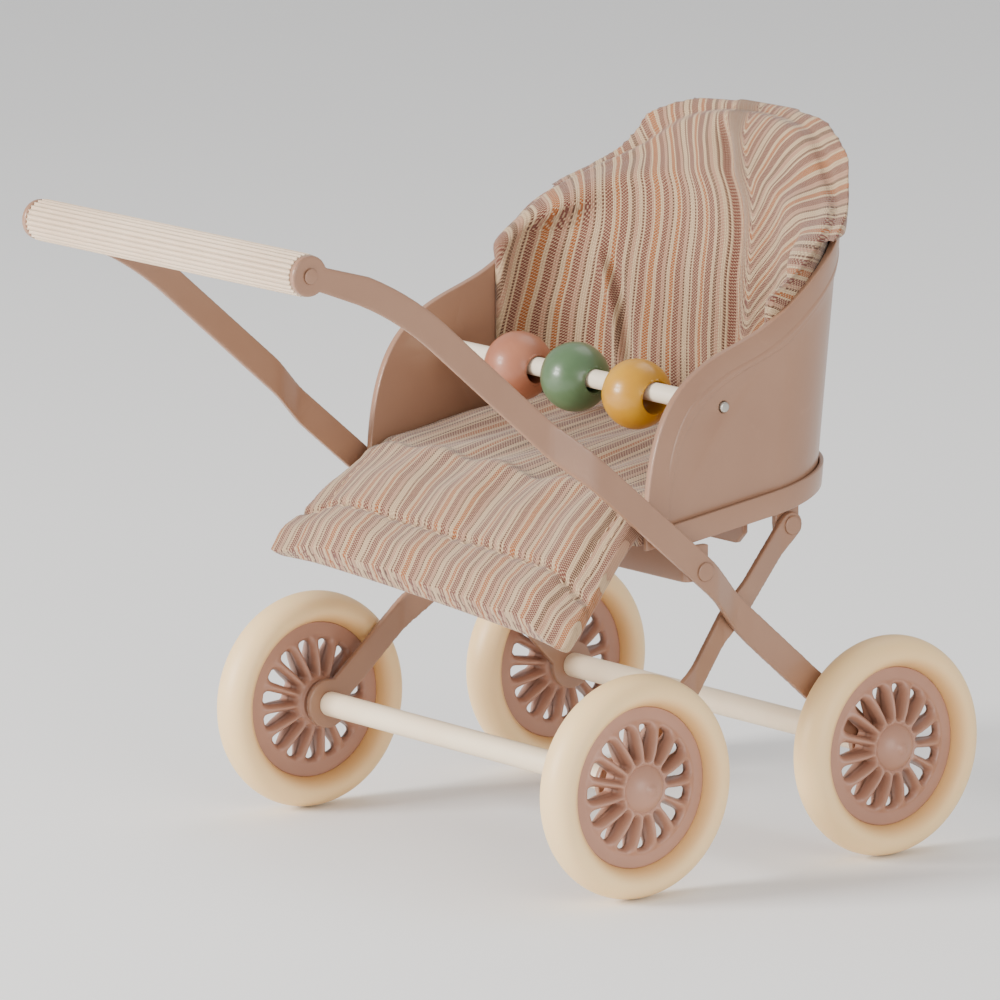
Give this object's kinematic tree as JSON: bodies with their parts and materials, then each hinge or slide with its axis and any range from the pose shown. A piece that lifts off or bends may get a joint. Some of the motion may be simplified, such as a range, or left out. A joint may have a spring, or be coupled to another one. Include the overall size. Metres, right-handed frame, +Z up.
{
  "type": "doll stroller",
  "caption": "Doll stroller: a toy frame of flat painted strips with a bucket seat, a striped pad, a bar of sliding beads, a ribbed grip and rolling wheels.",
  "frame": {"origin": "on the floor, midway between the two axles, on the centre plane between the sides", "axes": "+Z up; -Y towards the handle, the way the seat faces; +X towards the left-hand side of a doll sitting in the seat"},
  "size_m": [0.1006, 0.1383, 0.1232],
  "materials": {
    "frame_paint": "satin dusty brown-pink paint",
    "hub_rose": "moulded, dusty rose",
    "tyre_cream": "smooth cream",
    "pad_fabric": "striped plain weave",
    "grip_ivory": "ribbed ivory",
    "bar_cream": "smooth cream",
    "bead_pink_lacquer": "glossy lacquer",
    "bead_green_lacquer": "glossy lacquer",
    "bead_mustard_lacquer": "glossy lacquer",
    "tube_cream": "smooth cream",
    "plain_steel": "plain drawn wire"
  },
  "bodies": {
    "frame": {"arm_left": "frame_paint", "arm_right": "frame_paint", "arm_rivets": "frame_paint", "bead_bar": "bar_cream", "bead_bar_pin": "plain_steel", "crossing_rivets": "frame_paint", "front_axle_rod": "plain_steel", "front_axle_tube": "tube_cream", "front_strap": "frame_paint", "front_washers": "tube_cream", "grip_rod": "plain_steel", "leg_left": "frame_paint", "leg_right": "frame_paint", "leg_rivets": "frame_paint", "pad_apron": "pad_fabric", "pad_back": "pad_fabric", "pad_seat": "pad_fabric", "rear_axle_rod": "plain_steel", "rear_axle_tube": "tube_cream", "rear_strap": "frame_paint", "seat_pan": "frame_paint", "seat_shell": "frame_paint"},
    "wheel_front_left": {"tyre_front_left": "tyre_cream", "hub_front_left": "hub_rose", "hub_cap_front_left": "hub_rose"},
    "wheel_front_right": {"tyre_front_right": "tyre_cream", "hub_front_right": "hub_rose", "hub_cap_front_right": "hub_rose"},
    "wheel_rear_left": {"tyre_rear_left": "tyre_cream", "hub_rear_left": "hub_rose", "hub_cap_rear_left": "hub_rose"},
    "wheel_rear_right": {"tyre_rear_right": "tyre_cream", "hub_rear_right": "hub_rose", "hub_cap_rear_right": "hub_rose"},
    "pink_bead": {"bead_pink": "bead_pink_lacquer"},
    "green_bead": {"bead_green": "bead_green_lacquer"},
    "mustard_bead": {"bead_mustard": "bead_mustard_lacquer"},
    "handle_grip": {"grip": "grip_ivory"}
  },
  "joints": [
    {"name": "wheel_spin_front_left", "type": "hinge", "parent": "frame", "child": "wheel_front_left", "pos_m": [0.0455, -0.02715, 0.019], "axis": [1, 0, 0], "continuous": true},
    {"name": "wheel_spin_front_right", "type": "hinge", "parent": "frame", "child": "wheel_front_right", "pos_m": [-0.0455, -0.02715, 0.019], "axis": [1, 0, 0], "continuous": true},
    {"name": "wheel_spin_rear_left", "type": "hinge", "parent": "frame", "child": "wheel_rear_left", "pos_m": [0.0455, 0.02715, 0.019], "axis": [1, 0, 0], "continuous": true},
    {"name": "wheel_spin_rear_right", "type": "hinge", "parent": "frame", "child": "wheel_rear_right", "pos_m": [-0.0455, 0.02715, 0.019], "axis": [1, 0, 0], "continuous": true},
    {"name": "grip_turn", "type": "hinge", "parent": "frame", "child": "handle_grip", "pos_m": [0, -0.0887, 0.1101], "axis": [1, 0, 0], "continuous": true},
    {"name": "pink_bead_slide", "type": "slide", "parent": "frame", "child": "pink_bead", "axis": [1, 0, 0], "range_m": [-0.0147, 0.0023]},
    {"name": "green_bead_slide", "type": "slide", "parent": "frame", "child": "green_bead", "axis": [1, 0, 0], "range_m": [-0.0023, 0.003]},
    {"name": "mustard_bead_slide", "type": "slide", "parent": "frame", "child": "mustard_bead", "axis": [1, 0, 0], "range_m": [-0.003, 0.0169]}
  ]
}
